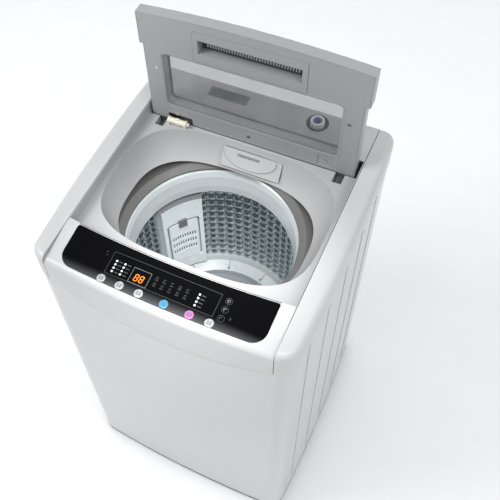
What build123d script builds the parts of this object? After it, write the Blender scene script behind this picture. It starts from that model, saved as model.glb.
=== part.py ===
from build123d import *
import math
import os

# Top load washing machine, upright, resting on its feet.
# X runs to the right seen from the front, Y runs to the back, Z runs up.
# The origin is the centre of the footprint at floor level. All lengths are millimetres.

# ---- driving dimensions -------------------------------------------------------------
WIDTH = 520.0
DEPTH = 524.0
DECK_Z = 890.0          # top of the plastic top frame, lid closed
SIDE_BOW = 8.7          # how far each side bulges in plan
FRONT_BOW = 10.7        # how far the front bulges in plan
FRONT_CORNER_R = 34.0
REAR_CORNER_R = 26.0
SEAM_Z = 828.0          # joint between steel cabinet and plastic top frame
SEAM_DIP_Z = 773.0      # lowest point of that joint, at the middle of the front
SEAM_HALF = 240.0       # half width of the dipping part of the joint
SKIN_INSET = 1.5        # steel sits this far inside the plastic outline
STEEL = 1.0
BASE_Z = 14.0           # underside of the base frame
SKIN_Z = 22.0           # lower edge of the steel cabinet
REAR_PANEL_Y = 238.0    # the rear panel is set back so that hoses clear the wall
FOOT_SPOTS = [(-212, -200), (212, -200), (-212, 205), (212, 205)]

SEAM_X = 220.1          # joint between centre pieces and side rails
SEAM_GAP = 1.1
FASCIA_BACK_Y = -157.5  # rear edge of the control fascia at its ends
FASCIA_BACK_BOW = 10.5
FASCIA_FLAT_Y = -172.0  # in front of this line the fascia slopes down
FASCIA_SLOPE = 0.115    # drop per millimetre of depth
PLASTIC = 3.0

SHELF_Z = 866.0         # ledge that the closed lid sits over
SHELF_REAR_Y = 146.0
BOWL_LIP_Z = 808.0
TROUGH_Z = 801.0        # gutter behind the ledge that the lid's tail drops into
TROUGH_REAR_Y = 185.0
REAR_DECK_Y = 171.0
GUTTER_WALL = 2.5

HINGE_Y = 124.7
HINGE_Z = 843.9
HINGE_X = 185.0
PIN_R = 4.0
RUN_CLEARANCE = 0.06
LID_OPEN = 90.0         # degrees between closed and the rest position
LID_UNDER_Z = 867.0
LID_TOP_Z = 889.5
LID_TAIL_Y = 166.0
LID_TAIL_CHAMFER = 9.0
LID_SWEEP_R = 56.6      # clear radius that the swinging tail needs round the hinge
LID_CHANNEL_R = 31.4    # groove under the lid that clears the edge of the ledge
LID_SHEET = 2.4
LID_FRONT_Y = -156.2
LID_HALF = 210.5
LID_WING_HALF = 217.6
LID_WING_Y = -84.0

TUB_Y = -33.0           # tub, drum and pulsator share this vertical axis
TUB_R = 212.0
TUB_WALL = 3.0
TUB_FLOOR_Z = 352.0
TUB_RIM_Z = 786.0
DRUM_R = 190.0
DRUM_WALL = 1.5
DRUM_Z0 = 402.0
DRUM_Z1 = 750.5
RING_BORE_R = 157.5
DISH_Z = 406.0
PULSATOR_R = 147.0
SPIN_R = 15.0
WASH_R = 8.5

ROD_SPOTS = [(-196, -205), (196, -205), (-196, 139), (196, 139)]
HANGER_Z = 780.0
ROD_R = 4.0
LUG_Z0 = 384.0
LUG_Z1 = 396.0
SPRING_Z0 = 326.0
SPRING_R = 15.0
SPRING_WIRE = 2.4

MOTOR_Y = TUB_Y + 140.0
PULLEY_Z0 = 156.0
PULLEY_Z1 = 176.0
BELT_Z0 = 161.5
BELT_Z1 = 170.5

BUTTON_R = 8.0
BUTTON_Y = -240.7
BUTTON_XS = [-105.8, -69.6, -31.9, 16.5, 64.3, 100.7]
BUTTON_TRAVEL = 1.2

NOZZLE_X = 108.0
NOZZLE_Y = 226.0
NOZZLE_R = 13.2         # G 3/4 thread
NOZZLE_TOP_Z = 898.0
NOZZLE_FOOT_Z = 870.5
VALVE_X = -145.0
VALVE_Y = -60.0
HOSE_R = 17.0
HOSE_BORE = 15.0
OUTLET_X = 190.0
OUTLET_Z = 84.0
FILTER_DEG = 140.0      # where the lint filter stands round the drum
FILTER_PIVOT_R = 163.0  # distance of the filter's pivot line from the drum axis
FILTER_PIVOT_Z = 473.0
FILTER_PIN_R = 1.6
DRAWER_X0 = -47.0
DRAWER_X1 = 76.0
DRAWER_Y0 = 112.0       # foot of the sloping drawer front
DRAWER_TOP_Y = 134.0    # top of the sloping drawer front
DRAWER_Y1 = 143.0
DRAWER_Z0 = 820.0
DRAWER_Z1 = 852.0
DRAWER_BACK_Z = 844.0   # top of its low rear wall
FILTER_ROW_Z = 566.0    # highest row of slots in the filter
FILTER_ROW_STEP = 25.0


# ---- helpers ------------------------------------------------------------------------
def block(x0, x1, y0, y1, z0, z1):
    """Box between two corners."""
    return Pos((x0 + x1) / 2, (y0 + y1) / 2, (z0 + z1) / 2) * Box(x1 - x0, y1 - y0, z1 - z0)


def post(x, y, z0, z1, r):
    """Upright round bar."""
    return Pos(x, y, (z0 + z1) / 2) * Cylinder(r, z1 - z0)


def sleeve(x, y, z0, z1, r_out, r_in):
    """Upright round tube."""
    return post(x, y, z0, z1, r_out) - post(x, y, z0 - 1, z1 + 1, r_in)


def bar_x(x0, x1, y, z, r):
    """Round bar along X."""
    return Pos((x0 + x1) / 2, y, z) * Rot(0, 90, 0) * Cylinder(r, x1 - x0)


def bar_y(x, y0, y1, z, r):
    """Round bar along Y."""
    return Pos(x, (y0 + y1) / 2, z) * Rot(90, 0, 0) * Cylinder(r, y1 - y0)


def turned(points, x=0.0, y=TUB_Y):
    """Solid of revolution about an upright axis, from (radius, height) corners."""
    face = make_face(Polyline(*points, close=True))
    return Pos(x, y, 0) * revolve(Plane.XZ * face, Axis.Z)


def side_prism(points, x0, x1):
    """Prism along X from corners given as (y, z)."""
    face = make_face(Polyline(*points, close=True))
    return extrude(Plane.YZ.offset(x0) * face, x1 - x0)


def ring_at(radius, degrees):
    """Point on a circle round the tub axis."""
    a = math.radians(degrees)
    return radius * math.cos(a), TUB_Y + radius * math.sin(a)


def plan(inset=0.0):
    """Outline of the machine from above, moved inwards by inset."""
    x_mid = WIDTH / 2 - inset
    x_end = x_mid - SIDE_BOW
    y_back = DEPTH / 2 - inset
    y_front = FRONT_BOW - y_back
    y_side = (y_front + y_back) / 2
    front = ThreePointArc((-x_end, y_front), (0, -y_back), (x_end, y_front))
    right = ThreePointArc((x_end, y_front), (x_mid, y_side), (x_end, y_back))
    back = Line((x_end, y_back), (-x_end, y_back))
    left = ThreePointArc((-x_end, y_back), (-x_mid, y_side), (-x_end, y_front))
    face = make_face([front, right, back, left])
    face = fillet(face.vertices().sort_by(Axis.Y)[:2], FRONT_CORNER_R - inset)
    return fillet(face.vertices().sort_by(Axis.Y)[-2:], REAR_CORNER_R - inset)


def plan_column(inset, z0, z1):
    """The outline raised between two heights."""
    return extrude(Pos(0, 0, z0) * plan(inset), z1 - z0)


def above_seam(y0, y1):
    """Everything above the dipping joint between steel and plastic."""
    arc = ThreePointArc((-SEAM_HALF, SEAM_Z), (0, SEAM_DIP_Z), (SEAM_HALF, SEAM_Z))
    rest = Polyline((SEAM_HALF, SEAM_Z), (300, SEAM_Z), (300, 960), (-300, 960),
                    (-300, SEAM_Z), (-SEAM_HALF, SEAM_Z))
    face = make_face([arc, rest])
    return extrude(Plane.XZ.offset(-y0) * face, -(y1 - y0))


def squarish(half_x, half_y, centre_y, power, z):
    """Rounded-square face, a superellipse, at one height."""
    points = []
    steps = 40
    for i in range(steps):
        a = 2 * math.pi * i / steps
        c, s = math.cos(a), math.sin(a)
        px = half_x * math.copysign(abs(c) ** (2 / power), c)
        py = half_y * math.copysign(abs(s) ** (2 / power), s)
        points.append((px, centre_y + py, z))
    return make_face(Spline(*points, periodic=True))


def to_rest(piece):
    """Swing a lid piece from closed to where the lid stands at rest."""
    return Pos(0, HINGE_Y, HINGE_Z) * Rot(-LID_OPEN, 0, 0) * Pos(0, -HINGE_Y, -HINGE_Z) * piece


# ---- cabinet ------------------------------------------------------------------------
def cabinet_wrap():
    """Steel front and sides in one bent sheet, with pressed ribs and rear flanges."""
    inner = SKIN_INSET + STEEL
    flange_x = 217.0
    skin = plan_column(SKIN_INSET, SKIN_Z, SEAM_Z) - plan_column(inner, SKIN_Z - 1, SEAM_Z + 1)
    skin -= block(-flange_x, flange_x, 200, 300, 0, 900)
    for side in (-1, 1):
        x0, x1 = sorted((side * flange_x, side * (flange_x + STEEL)))
        skin += block(x0, x1, REAR_PANEL_Y + 1.2, DEPTH / 2 - SKIN_INSET, SKIN_Z, SEAM_Z)
    rib_skin = plan_column(0.3, SKIN_Z, SEAM_Z) - plan_column(SKIN_INSET + 0.1, 0, 900)
    ribs = Part()
    for y in (-170, -85, 0, 85, 170):
        bar = Plane.YZ.offset(-300) * Pos(y, 440) * Rot(0, 0, 90) * SlotOverall(720, 13)
        ribs += extrude(bar, 600)
    skin += rib_skin & ribs
    return skin - above_seam(-300, -150)


def rear_panel():
    """Flat steel back, with a service opening and holes for hose, cord and cover screws."""
    y0, y1 = REAR_PANEL_Y, REAR_PANEL_Y + 1.2
    plate = block(-217.9, 217.9, y0, y1, SKIN_Z, SEAM_Z - 1)
    plate -= block(-120, 120, 200, 300, 110, 430)
    plate -= bar_y(OUTLET_X, 200, 300, OUTLET_Z, 20)
    plate -= bar_y(-190, 200, 300, 120, 9)
    for z in (520, 600, 680, 760):
        vent = Plane.XZ.offset(-300) * Pos(0, z) * SlotOverall(200, 7)
        plate -= extrude(vent, 100)
    return plate


def rear_access_cover():
    """Pressed cover over the service opening, standing off the rear panel."""
    y0 = REAR_PANEL_Y + 1.2
    cover = block(-135, 135, y0, y0 + 8, 96, 444)
    cover = fillet(cover.edges().filter_by(Axis.Y), 12)
    cover -= block(-119, 119, y0 - 1, y0 + 6.8, 111, 429)
    for z in range(160, 400, 40):
        slot = Plane.XZ.offset(-300) * Pos(0, z) * SlotOverall(150, 9)
        cover -= extrude(slot, 100)
    return cover


def base_frame():
    """Plastic skirt round the bottom with a socket for each foot."""
    skirt = plan_column(SKIN_INSET, BASE_Z, SKIN_Z) - block(-222, 222, -222, 222, 0, 100)
    skirt += plan_column(SKIN_INSET + STEEL + 0.1, SKIN_Z, 66) - plan_column(6.5, 0, 100)
    skirt += block(-240, 240, 150, 158, BASE_Z, 40)
    skirt += block(-240, 240, -158, -150, BASE_Z, 40)
    for x, y in FOOT_SPOTS:
        y0, y1 = sorted((0.9 * y, 1.14 * y))
        skirt += post(x, y, BASE_Z, 62, 19)
        skirt += block(x - 6, x + 6, y0, y1, BASE_Z, 56)
    for x, y in FOOT_SPOTS:
        skirt -= post(x, y, 0, 70, 6 + RUN_CLEARANCE)
    skirt -= block(-300, 300, REAR_PANEL_Y, 300, SKIN_Z, 80)
    return skirt


def foot(x, y):
    """Rubber-soled foot on a threaded stem."""
    pad = turned([(0, 0), (17, 0), (20, 4), (20, 9), (10, 12), (10, BASE_Z), (0, BASE_Z)], x, y)
    return pad + post(x, y, BASE_Z - 1, 60, 6)


def fixed_feet():
    return Part() + [foot(x, y) for x, y in FOOT_SPOTS if (x, y) != FOOT_SPOTS[1]]


def leveling_foot():
    """The adjustable foot at the front right."""
    return foot(*FOOT_SPOTS[1])


def corner_hangers():
    """Four steel plates in the cabinet corners that carry the suspension rods."""
    plates = Part()
    inside = plan_column(SKIN_INSET + STEEL, HANGER_Z - 1, HANGER_Z + 30)
    for x, y in ROD_SPOTS:
        side = math.copysign(1, x)
        x0, x1 = sorted((x - side * 13, side * 262))
        plate = block(x0, x1, y - 22, y + 22, HANGER_Z, HANGER_Z + 3)
        x2, x3 = sorted((side * 248, side * 262))
        plate += block(x2, x3, y - 22, y + 22, HANGER_Z + 3, HANGER_Z + 22)
        plate -= post(x, y, 700, 900, ROD_R + 0.3)
        plates += plate & inside
    for side in (-1, 1):
        for x, y in ROD_SPOTS:
            if x * side > 0:
                gap0, gap1 = sorted((side * 200, side * 254))
                plates -= block(gap0, gap1, y - 30, y + 30, HANGER_Z + 3, HANGER_Z + 40)
    return plates


# ---- top frame ----------------------------------------------------------------------
def side_rail(side):
    """Plastic rail along one side of the top, a downward open shell."""
    def bar(inset, top, inner_x, radius):
        body = plan_column(inset, 760, top)
        x0, x1 = sorted((side * inner_x, side * 300))
        body &= block(x0, x1, -300, 300, 700, 1000)
        rim = body.edges().group_by(Axis.Z)[-1]
        rim = rim.filter_by(lambda e: abs(e.center().X) > inner_x + 0.2)
        return fillet(rim, radius)
    inner_x = SEAM_X + SEAM_GAP / 2
    rail = bar(0, DECK_Z, inner_x, 13) - bar(PLASTIC, DECK_Z - PLASTIC, inner_x + PLASTIC, 10)
    keep = block(-300, 300, -215, 300, SEAM_Z, 900) + (above_seam(-300, -215) & block(
        -300, 300, -300, -215, 760, 900))
    x0, x1 = sorted((side * inner_x, side * (inner_x + PLASTIC)))
    return (rail & keep) - block(x0, x1, -252, 252, 0, 850)


def fascia_shape(inset):
    """Solid body of the control fascia, moved inwards by inset."""
    half = SEAM_X - SEAM_GAP / 2 - inset
    body = plan_column(inset, 700, DECK_Z - inset)
    body &= block(-half, half, -300, 0, 600, 1000)
    y_end = FASCIA_BACK_Y - inset
    arc = ThreePointArc((-half, y_end), (0, y_end - FASCIA_BACK_BOW), (half, y_end))
    rest = Polyline((half, y_end), (half, -300), (-half, -300), (-half, y_end))
    body &= extrude(Pos(0, 0, 600) * make_face([arc, rest]), 400)
    top = DECK_Z - inset
    far = -300
    drop = (FASCIA_FLAT_Y - far) * FASCIA_SLOPE
    wedge = [(FASCIA_FLAT_Y, top), (far, top - drop), (far, 960), (FASCIA_FLAT_Y, 960)]
    body -= side_prism(wedge, -300, 300)
    front_edges = [e for e in body.edges() if e.center().Z > 860 and e.center().Y < -245
                   and e.bounding_box().size.X > 300]
    return fillet(front_edges, 13 - inset)


def panel_outline(grow, top_r=4.0, low_r=27.0):
    """Outline of the glossy panel seen from above, grown by grow."""
    half = 195.0 + grow
    y_back = -163.5 + grow
    y_mid = -249.5 - grow
    y_end = -243.5 - grow
    back = ThreePointArc((-half, y_back), (0, y_back - 8.3), (half, y_back))
    right = Line((half, y_back), (half, y_end))
    front = ThreePointArc((half, y_end), (0, y_mid), (-half, y_end))
    left = Line((-half, y_end), (-half, y_back))
    face = make_face([back, right, front, left])
    face = fillet(face.vertices().sort_by(Axis.Y)[:2], low_r)
    upper = face.vertices().sort_by(Axis.Y)[-2:]
    return fillet(upper, top_r)


def fascia_layer(over, under):
    """Slab that follows the top of the fascia between two offsets from it."""
    far = -300
    drop = (FASCIA_FLAT_Y - far) * FASCIA_SLOPE
    top = [(-140, DECK_Z + over), (FASCIA_FLAT_Y, DECK_Z + over), (far, DECK_Z - drop + over)]
    low = [(far, DECK_Z - drop - under), (FASCIA_FLAT_Y, DECK_Z - under), (-140, DECK_Z - under)]
    return side_prism(top + low, -300, 300)


def button_holes(radius):
    return Part() + [post(x, BUTTON_Y, 860, 900, radius) for x in BUTTON_XS]


def control_fascia():
    """Bowed plastic front of the top frame, open underneath."""
    inner = fascia_shape(PLASTIC + 0.5)
    shell = fascia_shape(0) - inner
    shell &= above_seam(-300, 0)
    shell -= extrude(Pos(0, 0, 860) * panel_outline(0.25), 60) & fascia_layer(40, 1.5)
    shell -= block(-230, 230, -200, -100, 700, SHELF_Z)
    return shell - button_holes(BUTTON_R + 0.5)


def panel_overlay():
    """Glossy black panel let into the fascia."""
    sheet = extrude(Pos(0, 0, 860) * panel_outline(0), 60) & fascia_layer(0.4, 1.5)
    return sheet - button_holes(BUTTON_R + 0.5)


def push_button(x):
    """Domed push button with a collar that keeps it under the panel."""
    top = 883.4
    collar = [(0, 872.8), (9.6, 872.8), (9.6, 875.6), (BUTTON_R, 875.6), (BUTTON_R, top - 1.2),
              (BUTTON_R - 1.6, top - 0.3), (0, top)]
    return turned(collar, x, BUTTON_Y)


def control_board():
    """Circuit board under the panel, with switches, display box and tall components."""
    top = 866.6
    pieces = block(-150, 150, -248, -178, top - 1.6, top)
    for x in BUTTON_XS:
        pieces += block(x - 3, x + 3, BUTTON_Y - 3, BUTTON_Y + 3, top, top + 4)
    pieces += block(-8, 22, -205, -185, top, top + 5.4)
    pieces += block(-56, -25, -225, -206, top, top + 13.4)
    for x in (60, 80):
        pieces += post(x, -195, top, top + 11.4, 6)
    return pieces


def rear_deck():
    """Plastic deck behind the lid, holding the inlet, with an open underside."""
    half = SEAM_X - SEAM_GAP / 2
    shape = plan_column(0, SEAM_Z, DECK_Z) & block(-half, half, REAR_DECK_Y, 300, 700, 960)
    back = [e for e in shape.edges() if e.center().Z > DECK_Z - 0.5 and e.center().Y > 255]
    shape = fillet(back, 12)
    inner = plan_column(PLASTIC, 700, DECK_Z - PLASTIC) & block(
        -half + PLASTIC, half - PLASTIC, TROUGH_REAR_Y + 6.5, 300, 700, 960)
    deck = shape - inner
    sweep = bar_x(-300, 300, HINGE_Y, HINGE_Z, LID_SWEEP_R) & block(-300, 300, 100, 300, 700, 960)
    deck -= sweep
    deck -= block(-300, 300, REAR_DECK_Y - 1, TROUGH_REAR_Y + 3.5, 700, DECK_Z - PLASTIC)
    deck += sleeve(NOZZLE_X, NOZZLE_Y, 867, DECK_Z - 1, 21, 18.5)
    deck += sleeve(NOZZLE_X, NOZZLE_Y, 867, 869.5, 19, 15.3)
    return deck - post(NOZZLE_X, NOZZLE_Y, 869.5, 900, 18.5)


def bowl(grow):
    """Funnel from the ledge down to the drum mouth, moved outwards by grow."""
    upper = squarish(209 + grow, 144.5 + grow, -3.5, 3.3, SHELF_Z)
    middle = squarish(200 + grow, 138 + grow, -7, 3.1, 838)
    lower = squarish(183 + grow, 130 + grow, -15, 2.8, BOWL_LIP_Z)
    return loft([upper, middle, lower])


def drawer_gap():
    """Clear space that the drawer slides through."""
    return block(DRAWER_X0 - 1, DRAWER_X1 + 1, 40, DRAWER_Y1 + 0.5, DRAWER_Z0 - 0.5,
                 DRAWER_Z1 + 0.6)


def arm_slots():
    """Slots that the hinge arms swing through."""
    slots = Part()
    for side in (-1, 1):
        x = side * HINGE_X
        slots += block(x - 9, x + 9, HINGE_Y - 2, SHELF_REAR_Y + 1, 826, SHELF_Z + 2)
    return slots


def tub_surround():
    """Moulded ledge and bowl in one piece, with ears for the hinge pins."""
    half = SEAM_X - SEAM_GAP / 2
    body = block(-half, half, -176, SHELF_REAR_Y, SHELF_Z - PLASTIC, SHELF_Z)
    for side in (-1, 1):
        x0, x1 = sorted((side * (half - 1.3), side * half))
        body += block(x0, x1, FASCIA_BACK_Y + 0.5, REAR_DECK_Y - 0.3, SHELF_Z, DECK_Z - 0.2)
    body += bowl(2.6)
    inside = bowl(0)
    body -= inside
    body -= drawer_gap()
    for side in (-1, 1):
        x = side * HINGE_X
        for ear in (-11.5, 11.5):
            body += block(x + ear - 2, x + ear + 2, 113, SHELF_REAR_Y - GUTTER_WALL, 833, SHELF_Z - 1)
        body -= bar_x(x - 16, x + 16, HINGE_Y, HINGE_Z, PIN_R)
    return body - arm_slots()


def rear_gutter():
    """Gutter behind the ledge that the lid's tail drops into."""
    half = SEAM_X - SEAM_GAP / 2
    t = GUTTER_WALL
    gutter = block(-half, half, SHELF_REAR_Y - t, TROUGH_REAR_Y + t, TROUGH_Z - t, SHELF_Z)
    gutter -= block(-half + t, half - t, SHELF_REAR_Y, TROUGH_REAR_Y, TROUGH_Z, SHELF_Z + 1)
    gutter -= block(-half - 1, half + 1, SHELF_REAR_Y - t - 1, SHELF_REAR_Y, SHELF_Z - PLASTIC,
                    SHELF_Z + 1)
    swing = block(-half, half, SHELF_REAR_Y, 300, TROUGH_Z, 960)
    gutter -= bar_x(-half + t, half - t, HINGE_Y, HINGE_Z, LID_SWEEP_R) & swing
    return gutter - arm_slots()


def drawer_bay():
    """Cheeks and floor that guide the drawer between bowl and gutter."""
    bay = block(DRAWER_X0 - 3.5, DRAWER_X1 + 3.5, 60, SHELF_REAR_Y - GUTTER_WALL, DRAWER_Z0 - 3,
                SHELF_Z - PLASTIC)
    return bay - bowl(2.6) - drawer_gap()


def hinge_pins():
    """Two steel pins held in the ears of the surround."""
    pins = Part()
    for side in (-1, 1):
        x = side * HINGE_X
        pins += bar_x(x - 14, x + 14, HINGE_Y, HINGE_Z, PIN_R)
    return pins


def lid_damper():
    """Soft-close unit standing on the ledge in front of the lid's left end."""
    x0, x1, y, z = -170.0, -130.0, 138.5, SHELF_Z + 7.2
    unit = bar_x(x0 + 4, x1 - 4, y, z, 6.2)
    unit += bar_x(x0, x0 + 4, y, z, 7.2) + bar_x(x1 - 4, x1, y, z, 7.2)
    unit += bar_x(x1, x1 + 5, y, z, 3.5)
    unit += block(x0, x0 + 4, y - 7.2, y + 7.2, SHELF_Z, z)
    unit += block(x1 - 4, x1, y - 7.2, y + 7.2, SHELF_Z, z)
    unit += block(x0 + 16, x0 + 24, y - 3, y + 3, SHELF_Z, z + 6.8)
    return unit


def detergent_drawer():
    """Drawer in the rear wall of the bowl, its sloping front bulged and slotted for grip."""
    wall = 2.5
    rise = DRAWER_Z1 - DRAWER_Z0
    run = DRAWER_TOP_Y - DRAWER_Y0
    back = DRAWER_Y1
    profile = [(DRAWER_Y0, DRAWER_Z0), (DRAWER_TOP_Y, DRAWER_Z1), (back, DRAWER_Z1),
               (back, DRAWER_Z0)]
    front = DRAWER_TOP_Y + 0.8 * wall
    inner = [(DRAWER_Y0 + 1.6 * wall, DRAWER_Z0 + wall), (front, DRAWER_Z1 - 2),
             (front, DRAWER_Z1 + 1), (back + 1, DRAWER_Z1 + 1), (back + 1, DRAWER_BACK_Z),
             (back - wall, DRAWER_BACK_Z), (back - wall, DRAWER_Z0 + wall)]
    box = side_prism(profile, DRAWER_X0, DRAWER_X1)
    mid = (DRAWER_X0 + DRAWER_X1) / 2
    face = Plane(origin=(mid - 3, DRAWER_Y0 + 0.82 * run, DRAWER_Z0 + 0.82 * rise),
                 x_dir=(1, 0, 0), z_dir=(0, -rise, run))
    grip = extrude(face * Ellipse(54, 27), 3.2)
    grip = fillet(grip.edges().sort_by(Axis((0, 0, 0), tuple(face.z_dir)))[-1], 1.6)
    box += grip & block(-200, 200, 0, 200, DRAWER_Z0, DRAWER_Z1)
    box -= side_prism(inner, DRAWER_X0 + wall, DRAWER_X1 - wall)
    for i in range(11):
        box -= face * Pos(-24 + 4.2 * i, -1, 0) * Box(2.2, 5.5, 12)
    return box


def inlet_valve():
    """Water valve under the rear deck, its threaded inlet standing in a well."""
    body = post(NOZZLE_X, NOZZLE_Y, 836, NOZZLE_FOOT_Z, 15)
    body += block(NOZZLE_X - 46, NOZZLE_X - 10, NOZZLE_Y - 12, NOZZLE_Y + 12, 838, 860)
    body += post(NOZZLE_X, NOZZLE_Y, NOZZLE_FOOT_Z, NOZZLE_TOP_Z, NOZZLE_R)
    return body - post(NOZZLE_X, NOZZLE_Y, 864, NOZZLE_TOP_Z + 1, 9.2)


def inlet_filter():
    """Cup-shaped strainer inside the inlet."""
    cup = post(NOZZLE_X, NOZZLE_Y, 872, NOZZLE_TOP_Z - 2, 9.1)
    return cup - post(NOZZLE_X, NOZZLE_Y, 878, NOZZLE_TOP_Z, 6.5)


def pressure_switch():
    """Water level switch hung under the rear deck on the left."""
    case = post(-150, 222, 848, 872, 24)
    case += block(-158, -142, 214, 230, 872, DECK_Z - PLASTIC)
    return case + post(-150, 222, 832, 848, 4)


def cord_gland():
    """Strain relief for the mains lead in the rear panel."""
    y = REAR_PANEL_Y
    gland = bar_y(-190, y - 8, y + 12, 120, 8.9) + bar_y(-190, y + 1.2, y + 5, 120, 13)
    gland += bar_y(-190, y - 6, y, 120, 12)
    return gland - bar_y(-190, y - 20, y + 20, 120, 4)


def drain_outlet():
    """Spigot on the rear panel that the drain hose pushes onto."""
    y = REAR_PANEL_Y
    spigot = bar_y(OUTLET_X, y - 26, y + 20, OUTLET_Z, 14) + bar_y(OUTLET_X, y + 1.2, y + 4, OUTLET_Z, 26)
    spigot += bar_y(OUTLET_X, y - 4, y + 1.2, OUTLET_Z, 19.8)
    return spigot - bar_y(OUTLET_X, y - 30, y + 30, OUTLET_Z, 11)


def drain_hose():
    """Inner drain hose from the valve to the rear outlet, with large bends."""
    z_low = OUTLET_Z
    start = (VALVE_X, VALVE_Y, 280)
    corner_a = (VALVE_X, VALVE_Y, z_low)
    corner_b = (OUTLET_X, VALVE_Y, z_low)
    end = (OUTLET_X, REAR_PANEL_Y - 22, z_low)
    path = FilletPolyline(start, corner_a, corner_b, end, radius=70)
    ring = Plane(origin=start, z_dir=(0, 0, -1)) * (Circle(HOSE_R) - Circle(HOSE_BORE))
    return sweep(ring, path=path)


# ---- lid, drawn closed and swung to rest --------------------------------------------
def lid_outline(grow, z0, z1):
    """Lid seen from above: full width at the front, a little narrower behind."""
    half, wing = LID_HALF + grow, LID_WING_HALF + grow
    front = LID_FRONT_Y - grow
    arc = ThreePointArc((-wing, front), (0, front - FASCIA_BACK_BOW), (wing, front))
    rest = Polyline((wing, front), (wing, LID_WING_Y), (half, LID_WING_Y), (half, LID_TAIL_Y + grow),
                    (-half, LID_TAIL_Y + grow), (-half, LID_WING_Y), (-wing, LID_WING_Y),
                    (-wing, front))
    return extrude(Pos(0, 0, z0) * make_face([arc, rest]), z1 - z0)


def lid_body(grow, z0, z1):
    """Solid lid with its rear top edge cut back so that the tail can swing."""
    body = lid_outline(grow, z0, z1)
    tail = body.edges().group_by(Axis.Y)[-1].filter_by(Axis.X).sort_by(Axis.Z)[-1]
    return chamfer(tail, LID_TAIL_CHAMFER)


def window_cut(grow, z0, z1):
    """Rounded window opening in the lid."""
    x_half, y_low, y_high = 173.0 + grow, -72.0 - grow, 59.0 + grow
    face = Pos(0, (y_low + y_high) / 2) * RectangleRounded(2 * x_half, y_high - y_low, 9 + grow)
    return extrude(Pos(0, 0, z0) * face, z1 - z0)


def lid_outer_shell():
    """Top skin of the lid with its skirt."""
    shell = lid_body(0, LID_UNDER_Z, LID_TOP_Z) - lid_body(-2.2, LID_UNDER_Z - 1, LID_TOP_Z - 2.2)
    shell -= window_cut(-3, 800, 900)
    shell -= bar_x(-300, 300, HINGE_Y, HINGE_Z, LID_CHANNEL_R)
    rim = shell.edges().group_by(Axis.Z)[-1]
    rim = rim.filter_by(lambda e: e.center().Y < -150 or abs(e.center().X) > 210)
    return to_rest(fillet(rim, 1.4))


def lid_inner_frame():
    """Underside of the lid: a pan with pockets for handle and damper and a hinge channel."""
    half = LID_HALF - LID_SHEET
    frame = lid_outline(-LID_SHEET, LID_UNDER_Z, LID_UNDER_Z + LID_SHEET)
    frame += window_cut(5, LID_UNDER_Z, 875) - window_cut(2.6, 800, 900)
    frame -= window_cut(0, 800, 900)
    frame -= block(-107.4, 107.4, -146.4, -75.6, 800, 900)
    arch = bar_x(-half, half, HINGE_Y, HINGE_Z, LID_CHANNEL_R + LID_SHEET)
    frame += arch & block(-half, half, 80, LID_TAIL_Y - LID_SHEET, LID_UNDER_Z, 900)
    for side in (-1, 1):
        x = side * HINGE_X
        frame += block(x - 8, x + 8, HINGE_Y - 16, HINGE_Y + 16, LID_UNDER_Z + 2, 880)
    frame -= bar_x(-300, 300, HINGE_Y, HINGE_Z, LID_CHANNEL_R)
    frame -= block(138, 166, 70, 96, LID_UNDER_Z - 1, LID_UNDER_Z + 1.2)
    frame -= block(-174, -121, 86, 150, LID_UNDER_Z - 1, 887)
    for x, y in SCREW_SPOTS:
        frame -= post(x, y, 800, 900, 1.9)
    return to_rest(frame)


SCREW_SPOTS = [(-187, -32), (187, -32), (0, 83), (-153, 83), (153, 83)]


def lid_window():
    """Clear pane behind the inner frame."""
    return to_rest(window_cut(2.3, LID_UNDER_Z + 2.4, LID_UNDER_Z + 5.4))


def lid_handle_insert():
    """Handle moulding with a deep finger slot and a comb of fins across it."""
    x_half, y0, y1 = 107.0, -146.0, -76.0
    plate = block(-x_half, x_half, y0, y1, LID_UNDER_Z - 0.6, LID_UNDER_Z + 2.4)
    slot_half, s0, s1 = 97.0, -128.0, -97.0
    plate += block(-slot_half - 2, slot_half + 2, s0 - 2, s1 + 2, LID_UNDER_Z, LID_TOP_Z - 2.4)
    plate -= block(-slot_half, slot_half, s0, s1, LID_UNDER_Z - 2, LID_TOP_Z - 4.4)
    for i in range(34):
        x = -78 + i * 5.1
        plate += block(x - 0.9, x + 0.9, s0, s0 + 11, LID_UNDER_Z + 3, LID_TOP_Z - 4.4)
    return to_rest(plate)


def lid_screws():
    screws = Part()
    for x, y in SCREW_SPOTS:
        screws += post(x, y, LID_UNDER_Z - 1.0, LID_UNDER_Z, 3.4)
        screws += post(x, y, LID_UNDER_Z, LID_UNDER_Z + 10, 1.8)
    return to_rest(screws)


def lid_hinge_arms():
    """Two arms that carry the lid on the hinge pins."""
    arms = Part()
    reach = bar_x(-300, 300, HINGE_Y, HINGE_Z, LID_CHANNEL_R)
    for side in (-1, 1):
        x = side * HINGE_X
        leg = [(HINGE_Y - 1, 880), (HINGE_Y - 3, HINGE_Z), (HINGE_Y + 7, HINGE_Z),
               (HINGE_Y + 12, 880)]
        arm = side_prism(leg, x - 7, x + 7) & reach
        arm += bar_x(x - 7, x + 7, HINGE_Y, HINGE_Z, 8)
        arms += arm - bar_x(x - 10, x + 10, HINGE_Y, HINGE_Z, PIN_R + RUN_CLEARANCE)
    return to_rest(arms)


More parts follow.
